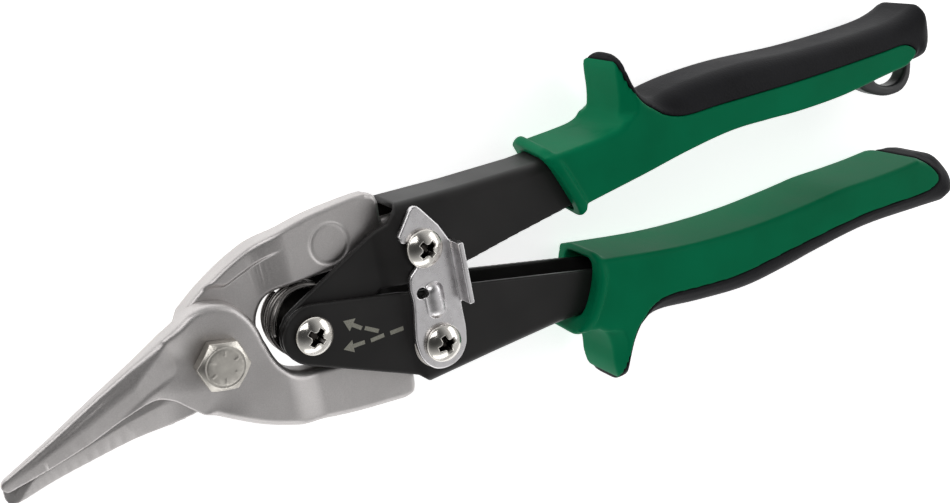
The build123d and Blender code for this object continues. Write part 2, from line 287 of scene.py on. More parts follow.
def place_of(tree):
    """Object coordinates in millimetres."""
    where = node(tree, "ShaderNodeTexCoord")
    scale = node(tree, "ShaderNodeMapping")
    scale.inputs["Scale"].default_value = [1 / MM] * 3
    tree.links.new(where.outputs["Object"], scale.inputs["Vector"])
    return scale.outputs["Vector"]


def noise(tree, vector, size, detail=3.0, rough=0.55):
    made = node(tree, "ShaderNodeTexNoise", Scale=1 / size, Detail=detail, Roughness=rough)
    tree.links.new(vector, made.inputs["Vector"])
    return made.outputs["Fac"]


def ramp(tree, value, low, high, first, last):
    """Maps value from low..high to first..last, numbers or colours."""
    if isinstance(first, tuple):
        made = node(tree, "ShaderNodeValToRGB")
        made.color_ramp.elements[0].position = low
        made.color_ramp.elements[1].position = high
        made.color_ramp.elements[0].color = (*first, 1)
        made.color_ramp.elements[1].color = (*last, 1)
        tree.links.new(value, made.inputs["Fac"])
        return made.outputs["Color"]
    made = node(tree, "ShaderNodeMapRange")
    for key, v in (("From Min", low), ("From Max", high), ("To Min", first), ("To Max", last)):
        made.inputs[key].default_value = v
    tree.links.new(value, made.inputs["Value"])
    return made.outputs["Result"]


def bump(tree, bsdf, height, depth, strength=1.0, under=None):
    made = node(tree, "ShaderNodeBump", Strength=strength, Distance=depth * MM)
    tree.links.new(height, made.inputs["Height"])
    if under is not None:
        tree.links.new(under, made.inputs["Normal"])
    tree.links.new(made.outputs["Normal"], bsdf.inputs["Normal"])
    return made.outputs["Normal"]


def mix(tree, fac, a, b):
    made = node(tree, "ShaderNodeMix", data_type="RGBA")
    for key, value in ((0, fac), (6, a), (7, b)):
        if isinstance(value, tuple):
            made.inputs[key].default_value = (*value, 1)
        else:
            tree.links.new(value, made.inputs[key])
    return made.outputs[2]


def blasted_steel():
    """Bead-blasted forging: fine grain over faint cloudy patches."""
    material, tree, bsdf = shader("blasted_steel", (0.43, 0.425, 0.415), 1.0, 0.42)
    where = place_of(tree)
    grain = noise(tree, where, 0.28, 4.0, 0.65)
    cloud = noise(tree, where, 9.0, 3.0)
    body = ramp(tree, cloud, 0.3, 0.7, (0.56, 0.537, 0.529), (0.645, 0.62, 0.611))
    speck = ramp(tree, grain, 0.3, 0.72, (0.0, 0.0, 0.0), (1.0, 1.0, 1.0))
    shade = mix(tree, speck, (0.465, 0.446, 0.439), (0.78, 0.753, 0.743))
    share = ramp(tree, cloud, 0.2, 0.8, 0.25, 0.5)
    tree.links.new(mix(tree, share, body, shade), bsdf.inputs["Base Color"])
    tree.links.new(ramp(tree, grain, 0.3, 0.7, 0.36, 0.5), bsdf.inputs["Roughness"])
    bump(tree, bsdf, grain, 0.05, 0.5)
    return material


def black_paint():
    """Satin black coating with a fine texture."""
    material, tree, bsdf = shader("black_coat", (0.017, 0.016, 0.016), 0.0, 0.42)
    bsdf.inputs["Specular IOR Level"].default_value = 0.3
    where = place_of(tree)
    grain = noise(tree, where, 0.35, 3.0, 0.6)
    cloud = noise(tree, where, 14.0, 2.0)
    color = ramp(tree, cloud, 0.3, 0.7, (0.0135, 0.0128, 0.0125), (0.0205, 0.0193, 0.019))
    tree.links.new(color, bsdf.inputs["Base Color"])
    tree.links.new(ramp(tree, cloud, 0.3, 0.7, 0.38, 0.48), bsdf.inputs["Roughness"])
    bump(tree, bsdf, grain, 0.03, 0.35)
    return material


def green_plastic():
    """Moulded green shell, a little hazy, with a very fine spark texture."""
    material, tree, bsdf = shader("green_shell", (0.0, 0.13, 0.05), 0.0, 0.45)
    bsdf.inputs["Specular IOR Level"].default_value = 0.04
    where = place_of(tree)
    grain = noise(tree, where, 0.3, 3.0, 0.6)
    cloud = noise(tree, where, 20.0, 3.0)
    color = ramp(tree, cloud, 0.3, 0.7, (0.0, 0.152, 0.062), (0.0, 0.188, 0.079))
    tree.links.new(color, bsdf.inputs["Base Color"])
    tree.links.new(ramp(tree, cloud, 0.25, 0.75, 0.38, 0.5), bsdf.inputs["Roughness"])
    bump(tree, bsdf, grain, 0.04, 0.35)
    return material


def soft_black():
    """Soft cover with a fine leathery grain."""
    material, tree, bsdf = shader("soft_cover", (0.014, 0.014, 0.016), 0.0, 0.6)
    bsdf.inputs["Specular IOR Level"].default_value = 0.12
    where = place_of(tree)
    pores = node(tree, "ShaderNodeTexVoronoi", Scale=1 / 0.55)
    tree.links.new(where, pores.inputs["Vector"])
    cloud = noise(tree, where, 12.0, 3.0)
    color = ramp(tree, cloud, 0.3, 0.7, (0.009, 0.009, 0.0105), (0.016, 0.016, 0.0185))
    tree.links.new(color, bsdf.inputs["Base Color"])
    tree.links.new(ramp(tree, cloud, 0.3, 0.7, 0.52, 0.64), bsdf.inputs["Roughness"])
    fine = bump(tree, bsdf, noise(tree, where, 0.25, 2.0), 0.03, 0.4)
    bump(tree, bsdf, pores.outputs["Distance"], 0.08, 0.45, fine)
    return material


def loop_plastic():
    material, tree, bsdf = shader("loop_plastic", (0.02, 0.02, 0.022), 0.0, 0.4)
    where = place_of(tree)
    cloud = noise(tree, where, 5.0)
    tree.links.new(ramp(tree, cloud, 0.3, 0.7, 0.34, 0.46), bsdf.inputs["Roughness"])
    bump(tree, bsdf, noise(tree, where, 0.3), 0.03, 0.3)
    return material


def plated(name, low, high, rough, grain_size=0.4, depth=0.02):
    """Plated steel with slight tone changes, and painted shade where the mesh marks a recess."""
    material, tree, bsdf = shader(name, high, 1.0, rough)
    where = place_of(tree)
    cloud = noise(tree, where, 2.5, 4.0, 0.6)
    painted_recess_shade = node(tree, "ShaderNodeAttribute", attribute_name="recess")
    clean = ramp(tree, cloud, 0.3, 0.7, low, high)
    # painted shade: where the recess mark is set, the colour is mixed towards near-black
    tree.links.new(mix(tree, painted_recess_shade.outputs["Fac"], clean, (0.05, 0.045, 0.04)), bsdf.inputs["Base Color"])
    tree.links.new(ramp(tree, cloud, 0.3, 0.7, rough * 0.8, rough * 1.3), bsdf.inputs["Roughness"])
    bump(tree, bsdf, noise(tree, where, grain_size, 3.0), depth, 0.35)
    return material


def print_ink():
    material, tree, bsdf = shader("pad_print", (0.27, 0.265, 0.22), 0.0, 0.5)
    speck = noise(tree, place_of(tree), 0.3, 3.0)
    color = ramp(tree, speck, 0.35, 0.65, (0.22, 0.215, 0.175), (0.31, 0.305, 0.26))
    tree.links.new(color, bsdf.inputs["Base Color"])
    return material


STEEL = blasted_steel()
COAT = black_paint()
GREEN = green_plastic()
SOFT = soft_black()
LOOP = loop_plastic()
NICKEL = plated("nickel_plate", (0.72, 0.69, 0.64), (0.86, 0.83, 0.78), 0.16)
BOLT_STEEL = plated("bolt_zinc", (0.62, 0.59, 0.54), (0.76, 0.73, 0.67), 0.34, 0.3, 0.04)
ZINC = plated("latch_zinc", (0.74, 0.72, 0.73), (0.90, 0.88, 0.89), 0.27, 0.35, 0.03)
WIRE = plated("spring_wire", (0.14, 0.13, 0.125), (0.26, 0.25, 0.24), 0.28, 0.3, 0.02)
INK = print_ink()


# ---------------------------------------------------------------- blades

def tail_inner(side, neck, heel):
    """Edge of a tail past the spring, round its lug and up the step behind it."""
    lug = arc((LINK_X, LINK_Y), LUG_RADIUS, 248, 450)
    return flip(curve(neck, 5) + lug + [(heel[0] - 0.2, LINK_Y + LUG_RADIUS), heel], side)


# Outlines in plan; the joints fix BOLT, PIVOT and the two link points.
CUT = curve([(-86.8, -9.0), (-89.4, -6.3), (-92.0, -3.8), (-95.6, -2.5), (-101.6, -3.9), (-109.4, -6.6),
             (-118.1, -8.9), (-126.4, -10.6)], 14)
SPINE = curve([(-126.9, -10.4), (-127.6, -9.2), (-127.0, -7.9), (-124.8, -6.8), (-117.0, -3.2),
               (-107.7, 1.4), (-98.5, 5.8), (-90.9, 9.7)], 6)
BOSS = curve([(-90.9, 9.7), (-87.4, 11.3), (-84.4, 12.9), (-80.8, 13.3), (-77.6, 12.5), (-75.0, 10.9),
              (-72.9, 8.2), (-71.5, 5.0), (-70.6, 1.0)], 6)
front_low = curve([(-41.6, -24.2), (-54.2, -22.5), (-63.9, -20.4), (-69.8, -18.4), (-75.5, -15.8),
                   (-81.0, -12.5), (-86.8, -9.0)], 6)
front_neck = [(-70.5, -1.0), (-69.5, 2.4), (-68.1, 5.1), (-65.8, 7.2), (-61.5, 8.9), (-52.0, 10.0)]
front_edge = polygon(SPINE[:-1] + BOSS[:-1] + tail_inner(-1, front_neck, (-38.4, 19.6))
                     + curve([(-38.4, -19.6), (-38.6, -22.0), (-39.4, -23.6), (-41.6, -24.2)], 4)
                     + front_low[1:-1] + CUT)
cut_distance = line_distance(CUT)
spine_distance = line_distance(SPINE)
boss_area = polygon(curve([(-93.4, 30.0), (-92.2, 12.0), (-90.6, 8.4), (-89.5, 4.4), (-90.0, 1.8),
                           (-92.6, 0.4), (-96.0, -0.9), (-100.0, -2.9), (-105.0, -5.4), (-112.0, -8.6)], 4)
                    + [(-112.0, -20.0), (-20.0, -40.0), (-20.0, 40.0)])


def front_top(x, y):
    """Height of the front blade's visible face.

    The jaw is the lowest of a bevel that rises from its spine, a facet that falls towards the
    boss and a flank that rises from its cutting edge. It meets the boss along the edge of
    boss_area, and the tail lies lower.
    """
    cut = cut_distance(x, y)
    spine = spine_distance(x, y)
    s = boss_area(x, y)
    edge = np.interp(x, [-127, -118, -108, -98, -90], [1.0, 1.6, 2.3, 2.9, 3.0])
    back = np.interp(x, [-127, -118, -108, -99, -91, -86], [1.1, 1.6, 2.1, 2.6, 4.0, 4.4])
    fall = 1.0 * smooth((11.0 - y) / 7.0)
    bevel = back + 0.23 * spine
    facet = BLADE_TOP - fall + 0.19 * np.maximum(s, 0)
    flank = edge + 0.12 * cut
    jaw = soft_min(soft_min(bevel, facet, 0.2), flank, 0.3)
    groove = 0.1 * np.exp(-((spine - 1.4) / 0.35) ** 2)
    jaw = jaw - groove * smooth((cut - 2.0) / 2.0) * smooth((-100.0 - x) / 6.0)
    boss = BLADE_TOP - fall * (1 - smooth(-s / 12.0))
    boss = soft_min(boss, edge + 0.15 + 0.18 * cut, 0.4)
    step = smooth((s + 0.6) / 1.2)
    top = boss * (1 - step) + jaw * step
    down = smooth((x + 68.5) / 8.0)
    return top * (1 - down) + (TAIL_FACE - TAIL_LEAN * (x + 60.0)) * down


def front_field(x, y, z):
    d = front_edge(x, y)
    top = front_top(x, y)
    bottom = 0.05 - 2.25 * smooth((x + 69.5) / 7.0)
    near_cut = smooth((cut_distance(x, y) - 0.3) / 3.0)
    round_back = np.interp(x, [-127, -118, -108, -98, -88], [0.6, 0.7, 0.8, 0.9, 1.7])
    radius = 0.12 + near_cut * (round_back - 0.12)
    body = np.maximum(corner(d, z - top, radius), corner(d, bottom - z, 0.1 + 0.15 * near_cut))
    hole = BOLT_HOLE - np.hypot(x - BOLT[0], y - BOLT[1])
    pin = 3.05 - np.hypot(x - LINK_X, y + LINK_Y)
    return np.maximum(body, np.maximum(hole, pin))


solid("front_blade_forged", front_field, (-129, -25, -3.2), (-26, 16, 5.8), 0.3, 0.3,
      "front_blade", STEEL, ["front_blade"])

rear_top_line = curve([(-85.0, 11.9), (-80.4, 15.1), (-74.9, 18.2), (-69.2, 20.6), (-63.6, 22.2),
                       (-54.7, 23.8), (-45.0, 24.4), (-41.2, 24.3)], 6)
rear_neck = [(-70.6, 1.0), (-70.2, 4.8), (-68.8, 7.6), (-66.4, 9.7), (-62.0, 10.5), (-52.0, 10.4)]
rear_low = curve([(-127.2, -10.4), (-127.2, -13.2), (-125.4, -14.2), (-117.6, -12.6), (-109.0, -11.35),
                  (-100.2, -10.35), (-92.0, -10.2), (-86.0, -9.4), (-77.5, -8.8), (-72.4, -4.6),
                  (-70.6, 1.0)], 14)
rear_cut = [(-87.0, 8.6), (-91.0, 1.2), (-96.0, -0.4), (-109.0, -4.2), (-120.0, -7.2), (-126.4, -9.0)]
rear_edge = polygon(rear_low[:-1] + tail_inner(1, rear_neck, (-38.5, 21.4))
                    + curve([(-38.5, 21.4), (-39.2, 23.2), (-41.2, 24.1)], 4)[:-1]
                    + rear_top_line[::-1] + rear_cut)
rear_cut_distance = line_distance(rear_cut)
rear_outer_distance = line_distance(rear_top_line)


def rear_field(x, y, z):
    """The rear blade: a raised rim along its back, a bevelled tip, a stamped disc and a hollow jaw."""
    d = rear_edge(x, y)
    sweep = np.hypot(x - BOLT[0], y - BOLT[1])
    rise = smooth((x + 69.0) / 8.0)
    width = 2.6 + 1.4 * smooth((x + 84.0) / 16.0)
    rim = smooth((width - rear_outer_distance(x, y)) / 0.5) * smooth((sweep - 14.2) / 1.5)
    top = -0.05 + (0.05 + TAIL_FACE - TAIL_LEAN * (x + 60.0)) * rise + 0.75 * rim * (1 - rise)
    top = top - 0.15 * np.clip(d + 5.0, 0, 5) * smooth((-86.0 - x) / 8.0)
    tip = np.maximum((x + 121.8) * -0.68 + (y + 10.9) * 0.73, 0)
    top = top - 0.34 * tip
    disc = np.hypot(x + 51.6, y - 16.5)
    top = top - 0.22 * np.exp(-((disc - 4.3) / 0.32) ** 2) - 0.1 * smooth((4.3 - disc) / 0.4)
    bottom = -BLADE_TOP + 2.4 * smooth((x + 68.5) / 8.0)
    jaw = smooth((-92.0 - x) / 8.0)
    hollow = np.clip(rear_cut_distance(x, y) / 7.0, 0, 1)
    bottom = bottom + jaw * (2.0 * (1 - hollow) + np.clip((-100 - x) * 0.05, 0, 1.2) * hollow)
    outer = smooth((x + 88.0) / 6.0)
    radius = 0.15 + 0.95 * outer * smooth((d + 8) / 6)
    body = np.maximum(corner(d, z - top, radius), corner(d, bottom - z, 0.45))
    hole = BOLT_HOLE - sweep
    pin = 3.3 - np.hypot(x - LINK_X, y - LINK_Y)
    return np.maximum(body, np.maximum(hole, pin))


solid("rear_blade_forged", rear_field, (-129, -15, -5.6), (-26, 25, 3.2), 0.3, 0.3,
      "rear_blade", STEEL, ["rear_blade"])

# ---------------------------------------------------------------- handles

# The web's outer face, as its distance from the middle line at each x.
WEB_X = (WEB_START, -21.0, -3.0, 8.0, 30.0)
WEB_Y = {-1: (20.2, 19.4, 18.7, 19.0, 22.6), 1: (21.4, 20.4, 19.8, 20.2, 22.6)}


def handle_outline(side):
    """Plan of a wall: its inner edge, its outer edge along the web and the round ear."""
    if side < 0:
        inner = [(-59.4, 6.4), (-40.0, 2.1), (-23.0, -1.4), (1.0, -7.1), (7.0, -8.5), (30.0, -15.2)]
    else:
        inner = [(-58.0, -5.9), (-43.5, 3.6), (-23.0, 4.0), (-11.0, 5.8), (5.4, 8.0), (30.0, 15.2)]
    outer = [(CHANNEL_END, 15.2), (CHANNEL_END, 23.0)]
    outer = outer + list(zip(WEB_X, WEB_Y[side]))[::-1] + [(-39.6, 17.6), (-63.6, 6.06)]
    start = math.degrees(math.atan2(outer[-1][1] * side, -2.6))
    end = math.degrees(math.atan2(inner[0][1], inner[0][0] - PIVOT[0]))
    if side < 0:
        end -= 360
        start = start - 360 if start > 0 else start
    ear = arc(PIVOT, EAR_RADIUS, start, end if side < 0 else end + 360)
    return inner + flip(outer[:-1], side) + ear[:-1]


def handle_field(side, ear_z, joggle):
    """A channel: two walls that step in to the ears at the joggle, and the web that joins them."""
    half = SHEET / 2
    outline = polygon(handle_outline(side))

    def field(x, y, z):
        d = outline(x, y)
        up = np.abs(z)
        back = y * side
        out = smooth((x - joggle[0]) / (joggle[1] - joggle[0]))
        middle = ear_z + half + (WALL_UNDER - ear_z) * out
        wall = corner(np.abs(up - middle) - half, d, 0.35)
        web_y = np.interp(x, WEB_X, WEB_Y[side])
        web = np.maximum(np.abs(back - web_y + half) - half, up - CHANNEL_TOP)
        web = corner(web, np.maximum(WEB_START - x, x - CHANNEL_END), 0.35)
        body = soft_min(wall, web, 0.9)
        body = np.maximum(body, np.maximum(d - 0.02, corner(back - web_y, up - CHANNEL_TOP, 2.4)))
        pivot = 2.55 - np.hypot(x - PIVOT[0], y - PIVOT[1])
        link = 2.05 - np.hypot(x - LINK_X, back - LINK_Y)
        return np.maximum(body, np.maximum(pivot, link))
    return field


solid("lower_handle_pressed", handle_field(-1, 4.4, (-40.5, -37.5)),
      (-69, -24, -7.8), (105.5, 8, 7.8), 0.4, 0.3,
      "lower_handle", COAT, ["lower_handle_frame"])
solid("upper_handle_pressed", handle_field(1, 2.5, (-43.5, -37.5)),
      (-69, -8, -7.8), (105.5, 24, 7.8), 0.4, 0.3,
      "upper_handle", COAT, ["upper_handle_frame"])

# ---------------------------------------------------------------- grips

# Each grip is traced from its inner edge round the end and back to the finger guard; the split
# is the line between the green shell and the black cover.
lower_inner = curve([(7.4, -5.9), (10.4, -6.4), (28.5, -9.8), (42.0, -11.5), (57.0, -12.4),
                     (72.0, -12.3), (83.0, -11.9), (94.0, -12.3), (103.0, -12.4), (114.0, -12.1)])
lower_end = curve([(114.0, -12.1), (117.8, -13.4), (120.6, -16.3), (122.8, -19.8), (123.4, -23.2),
                   (122.2, -25.8), (119.0, -27.2)])
lower_outer = curve([(119.0, -27.2), (109.5, -26.5), (91.0, -25.5), (74.0, -26.6), (64.4, -27.6),
                     (50.5, -28.4), (36.0, -26.9), (24.8, -25.2), (19.8, -26.0), (17.0, -28.8),
                     (15.0, -32.6), (13.0, -37.4)])
lower_horn = curve([(13.0, -37.4), (12.0, -39.4), (10.7, -38.4), (9.8, -34.2), (9.9, -29.6),
                    (8.8, -25.4), (5.4, -22.3)])
lower_grip = polygon(lower_inner[:-1] + lower_end[:-1] + lower_outer[:-1] + lower_horn + [(-0.6, -21.2)])
lower_split = [(9.8, -41.5), (11.3, -36.0), (12.9, -31.0), (15.2, -26.4), (18.2, -23.6), (21.0, -21.6),
               (26.0, -20.7), (36.0, -21.9), (48.0, -22.8), (67.0, -21.6), (89.0, -20.5), (109.0, -21.3),
               (114.6, -20.4), (115.8, -18.6), (114.6, -16.4), (111.0, -12.5)]

upper_inner = curve([(5.4, 7.0), (7.2, 7.8), (24.0, 9.9), (37.0, 11.7), (50.0, 12.8), (61.0, 12.4),
                     (72.0, 11.7), (86.0, 11.7), (99.0, 12.8), (108.6, 13.5), (112.5, 13.6)])
upper_end = curve([(112.5, 13.2), (116.4, 13.8), (118.3, 16.8), (118.7, 20.8), (118.2, 25.0),
                   (116.4, 27.4)])
upper_outer = curve([(116.4, 27.4), (112.0, 25.9), (106.0, 25.0), (95.0, 24.8), (78.0, 25.3),
                     (58.0, 26.9), (45.0, 27.0), (37.0, 26.4), (31.8, 25.6), (28.7, 27.2),
                     (26.4, 30.6), (24.9, 34.6)])
upper_horn = curve([(24.7, 34.6), (24.2, 38.0), (23.0, 38.4), (22.2, 34.4), (22.0, 28.6),
                    (20.9, 24.3), (17.6, 22.0), (6.0, 21.4), (-1.4, 21.3)])
upper_grip = polygon(upper_inner[:-1] + upper_end[:-1] + upper_outer[:-1] + upper_horn)
upper_split = [(23.0, 41.5), (22.9, 37.4), (23.3, 33.2), (25.1, 28.1), (29.0, 24.1), (32.5, 21.7),
               (38.0, 20.3), (48.0, 20.1), (74.0, 19.2), (98.0, 19.2), (106.6, 19.3), (110.2, 17.6),
               (110.8, 15.8), (108.6, 12.5)]


def grip_fields(side, outline, split, mouth):
    """The green shell and the black cover of one grip."""
    (ax, ay), (bx, by) = mouth
    length = math.hypot(bx - ax, by - ay)
    tx, ty = (bx - ax) / length, (by - ay) / length
    nx, ny = ty * side, -tx * side
    horn_end, bow = (38.0, 0.2) if side > 0 else (39.4, 1.9)
    split_line = curve(split, 5)
    far = 200.0
    palm = polygon(split_line + [(split_line[-1][0], 0.0), (far, 0.0), (far, 90.0 * side),
                                 (split_line[0][0] - 3.0, 90.0 * side)])

    def body(x, y, z):
        d = outline(x, y)
        up = np.abs(z)
        back = y * side
        radius = 1.4 + 4.4 * smooth((2.0 - palm(x, y)) / 4.0)
        main = corner(d, up - GRIP_HALF, radius)
        horn = smooth((back - 20.4) / 4.6)
        main = soft_max(main, 0.80 * d + 0.60 * (up - 6.6) - 6.0 * (1 - horn), 0.25)
        main = np.maximum(main, corner(back - horn_end, up - GRIP_HALF, 9.6))
        across = (x - ax) * tx + (y - ay) * ty
        through = (x - ax) * nx + (y - ay) * ny + 0.13 * (z - 7.0)
        through = through - bow * (1 - (2 * across / length - 1) ** 2)
        ring = corner(np.abs(across - length / 2) - length / 2, up - COLLAR_HALF, 6.0)
        collar = corner(ring, np.abs(through - 1.35) - 1.35, 1.1)
        whole = np.maximum(soft_min(main, collar, 0.6), -through)
        inner = np.interp(x, [8.0, 30.0], [6.3, 14.6])
        bore = corner(back - np.interp(x, WEB_X, WEB_Y[side]) - 0.2, up - 7.1, 2.5)
        bore = np.maximum(corner(bore, inner - back, 2.5), x - 60.0)
        return soft_max(whole, -bore, 0.5)

    def shell(x, y, z):
        return corner(body(x, y, z), -palm(x, y) + 0.04, 0.25)

    def cover(x, y, z):
        return corner(body(x, y, z), palm(x, y) + 0.04, 0.25)

    return shell, cover


lower_shell, lower_cover = grip_fields(-1, lower_grip, lower_split, ((8.0, -4.3), (-0.7, -22.0)))
upper_shell, upper_cover = grip_fields(1, upper_grip, upper_split, ((6.3, 4.5), (-1.2, 21.8)))
solid("lower_grip_moulded", lower_shell, (-6, -41, -12.4), (124, -2, 12.4), 0.5, 0.35,
      "lower_handle", GREEN, ["lower_grip_shell"])
solid("lower_cover_moulded", lower_cover, (6, -41, -11.2), (126, -11, 11.2), 0.5, 0.35,
      "lower_handle", SOFT, ["lower_grip_cover"])
solid("upper_grip_moulded", upper_shell, (-9, 3, -12.4), (120, 41, 12.4), 0.5, 0.35,
      "upper_handle", GREEN, ["upper_grip_shell"])
solid("upper_cover_moulded", upper_cover, (18, 10, -11.2), (122, 41, 11.2), 0.5, 0.35,
      "upper_handle", SOFT, ["upper_grip_cover"])

loop_outer = polygon([(97.5, 17.0)]
                     + curve([(97.5, 11.0), (100.5, 8.0), (106.0, 5.3), (110.2, 4.6), (113.6, 5.1),
                              (116.0, 7.2), (117.0, 10.2), (117.2, 13.0)], 5)
                     + [(117.2, 17.0)])
loop_inner = polygon(curve([(103.4, 14.5), (103.8, 10.2), (106.6, 8.0), (110.2, 7.2), (113.1, 8.1),
                            (114.6, 10.8), (114.8, 14.5)], 5))


def loop_field(x, y, z):
    """The flat hang loop, rounded on both faces."""
    return corner(np.maximum(loop_outer(x, y), -loop_inner(x, y)), np.abs(z) - 2.2, 0.8)


solid("hang_loop_moulded", loop_field, (96, 3, -3), (121, 18, 3), 0.3, 0.4,
      "upper_handle", LOOP, ["hang_loop"])

# ---------------------------------------------------------------- latch

latch_edge = polygon([(-27.4, -9.0), (-27.4, 10.9), (-29.2, 14.8), (-32.4, 19.3)]
                     + arc((-34.0, 18.9), 1.5, 30, 140, 4)
                     + [(-38.9, 14.9)] + arc((-37.6, 14.2), 1.1, 160, 290, 4)
                     + [(-37.2, 13.3)] + arc((LINK_X, LINK_Y), 2.55, 145, -115, 12)
                     + [(-35.6, 7.7)]
                     + curve([(-36.4, 7.0), (-38.1, 5.4), (-38.6, 3.0), (-38.5, -0.5), (-39.2, -5.0),
                              (-39.7, -9.0), (-39.0, -13.2), (-36.8, -16.2), (-33.6, -17.1), (-30.4, -16.2),
                              (-28.2, -13.6), (-27.5, -10.5)], 5))


def latch_field(x, y, z):
    """Stamped plate with a long dome, a drilled hole and a bent-up thumb tab."""
    d = latch_edge(x, y)
    pivot = 3.05 - np.hypot(x - LINK_X, y + LINK_Y)
    drilled = 1.2 - np.hypot(x + 36.1, y - 1.3)
    flat = corner(np.maximum(d, np.maximum(pivot, drilled)), np.abs(z - LATCH_BOTTOM - 0.7) - 0.7, 0.35)
    bx = np.maximum(np.abs(y + 1.1) - 1.9, 0)
    dome = np.hypot(np.hypot(x + 33.5, bx), (z - LATCH_TOP + 0.5) * 1.3) - 2.3
    dome = np.maximum(dome, LATCH_TOP - 1.0 - z)
    dome = np.maximum(dome, drilled)
    body = soft_min(flat, dome, 0.25)
    tab = corner(np.abs(x + 26.75) - 0.65, np.abs(y - 3.6) - 7.0, 0.3)
    tab = corner(tab, np.maximum(LATCH_BOTTOM - z, z - 12.5), 0.3)
    return soft_min(body, tab, 0.7)


solid("latch_stamped", latch_field, (-41, -19, 6.4), (-24.6, 22, 13.4), 0.16, 0.3,
      "latch", ZINC, ["latch_plate"])

# ---------------------------------------------------------------- fasteners


def paint_recess_shade(mesh, center, sphere_z):
    """Marks the sunken part of a domed head, where the plated materials paint shade."""
    co = np.zeros(len(mesh.vertices) * 3)
    mesh.vertices.foreach_get("co", co)
    x, y, z = (co.reshape(-1, 3) / MM - (center[0], center[1], MID + sphere_z)).T
    rho = np.hypot(x, y)
    # painted shade: the depth below the dome inside the cross becomes the darkening mask
    painted_recess_shade = (HEAD_DOME - np.sqrt(rho ** 2 + z ** 2)) * (rho < 2.7) * (z > 3.2)
    mark = mesh.attributes.new("recess", "FLOAT", "POINT")
    mark.data.foreach_set("value", np.clip(painted_recess_shade / 0.7, 0, 1).astype(np.float32))


def screw(name, center, seat, shaft, tip, turn, body, shoulder=None):
    """Pan head with a cross recess, its shoulder and its threaded end.

    seat and tip are the heights under the head and at the end of the thread, shaft its radius,
    turn the angle of the cross, and shoulder the lower height and the radius of a step.
    """
    def field(x, y, z):
        dx, dy = x - center[0], y - center[1]
        rho = np.hypot(dx, dy)
        dome = np.sqrt(rho ** 2 + (z - (seat + HEAD_HEIGHT - HEAD_DOME)) ** 2) - HEAD_DOME
        head = corner(np.maximum(dome, rho - HEAD_RADIUS), seat - z, 0.25)
        head = soft_max(head, rho - HEAD_RADIUS, 0.5)
        u = dx * math.cos(turn) + dy * math.sin(turn)
        v = -dx * math.sin(turn) + dy * math.cos(turn)
        depth = np.clip((seat + HEAD_HEIGHT - z) / 2.2, 0, 1)
        reach = 2.45 - 1.6 * depth
        width = 0.62 - 0.2 * depth
        cross = np.minimum(np.maximum(np.abs(u) - reach, np.abs(v) - width),
                           np.maximum(np.abs(v) - reach, np.abs(u) - width))
        cross = soft_min(cross, np.hypot(u, v) - (1.25 - 0.75 * depth), 0.3)
        head = soft_max(head, -np.maximum(cross, seat + 0.3 - z), 0.15)
        thread = 0.12 * np.cos((z * 2 * math.pi) / 0.9 + np.arctan2(dy, dx)) * (z < -CHANNEL_TOP)
        rod = corner(rho - shaft + 0.12 + thread, tip - z, 0.4)
        rod = np.maximum(rod, z - seat)
        whole = np.minimum(head, rod)
        if shoulder:
            collar = np.maximum(shoulder[0] - z, z - seat)
            whole = np.minimum(whole, np.maximum(rho - shoulder[1], collar))
        return whole

    low = (center[0] - 5.2, center[1] - 5.2, tip - 0.8)
    high = (center[0] + 5.2, center[1] + 5.2, seat + 3.2)
    obj = solid(name + "_turned", field, low, high, 0.14, 0.3, body, NICKEL, [name])
    paint_recess_shade(obj.data, center, seat + HEAD_HEIGHT - HEAD_DOME)
    return obj


screw("handle_pivot_screw", PIVOT, EAR_TOP, 2.5, -10.4, math.radians(43), "lower_handle")
screw("upper_link_screw", (LINK_X, LINK_Y), HEAD_SEAT, 2.0, -11.0, math.radians(33), "upper_handle",
      (CHANNEL_TOP, 2.3))
screw("lower_link_screw", (LINK_X, -LINK_Y), HEAD_SEAT, 2.0, -11.0, math.radians(15), "lower_handle",
      (CHANNEL_TOP, 3.0))


def bolt_field(x, y, z):
    """Hexagon bolt: chamfered head with a flat disc and six radial marks, and its threaded end."""
    dx, dy = x - BOLT[0], y - BOLT[1]
    rho = np.hypot(dx, dy)
    hexagon = np.full(np.broadcast(x, y).shape, -1e9)
    for k in range(6):
        a = math.radians(HEX_TURN + 60 * k)
        hexagon = soft_max(hexagon, dx * math.cos(a) + dy * math.sin(a) - HEX_HALF, 0.12)
    cone = (rho - 4.25) * 0.5 + (z - BOLT_TOP) * 0.866
    top = z - BOLT_TOP + 0.12 * smooth((rho - 3.6) / 0.3) * smooth((4.3 - rho) / 0.3)
    ticks = 0.0
    for k in range(6):
        a = math.radians(60 * k + 20)
        u = dx * math.cos(a) + dy * math.sin(a)
        v = -dx * math.sin(a) + dy * math.cos(a)
        ticks = ticks + np.exp(-(v / 0.22) ** 2) * smooth((u - 2.2) / 0.3) * smooth((3.5 - u) / 0.3)
    top = top - 0.1 * ticks
    head = np.maximum(hexagon, np.maximum(cone, top))
    head = corner(head, BLADE_TOP - z, 0.15)
    thread = 0.15 * np.cos((z * 2 * math.pi) / 1.0 + np.arctan2(dy, dx)) * (z < -4.0)
    rod = corner(rho - 2.85 + thread, -MID - z, 0.5)
    rod = np.maximum(rod, z - 4.8)
    return np.minimum(head, rod)


solid("pivot_bolt_forged", bolt_field, (-88, -6, -12.4), (-74, 8, 8.6), 0.2, 0.3,
      "front_blade", BOLT_STEEL, ["pivot_bolt"])

# ---------------------------------------------------------------- opening spring


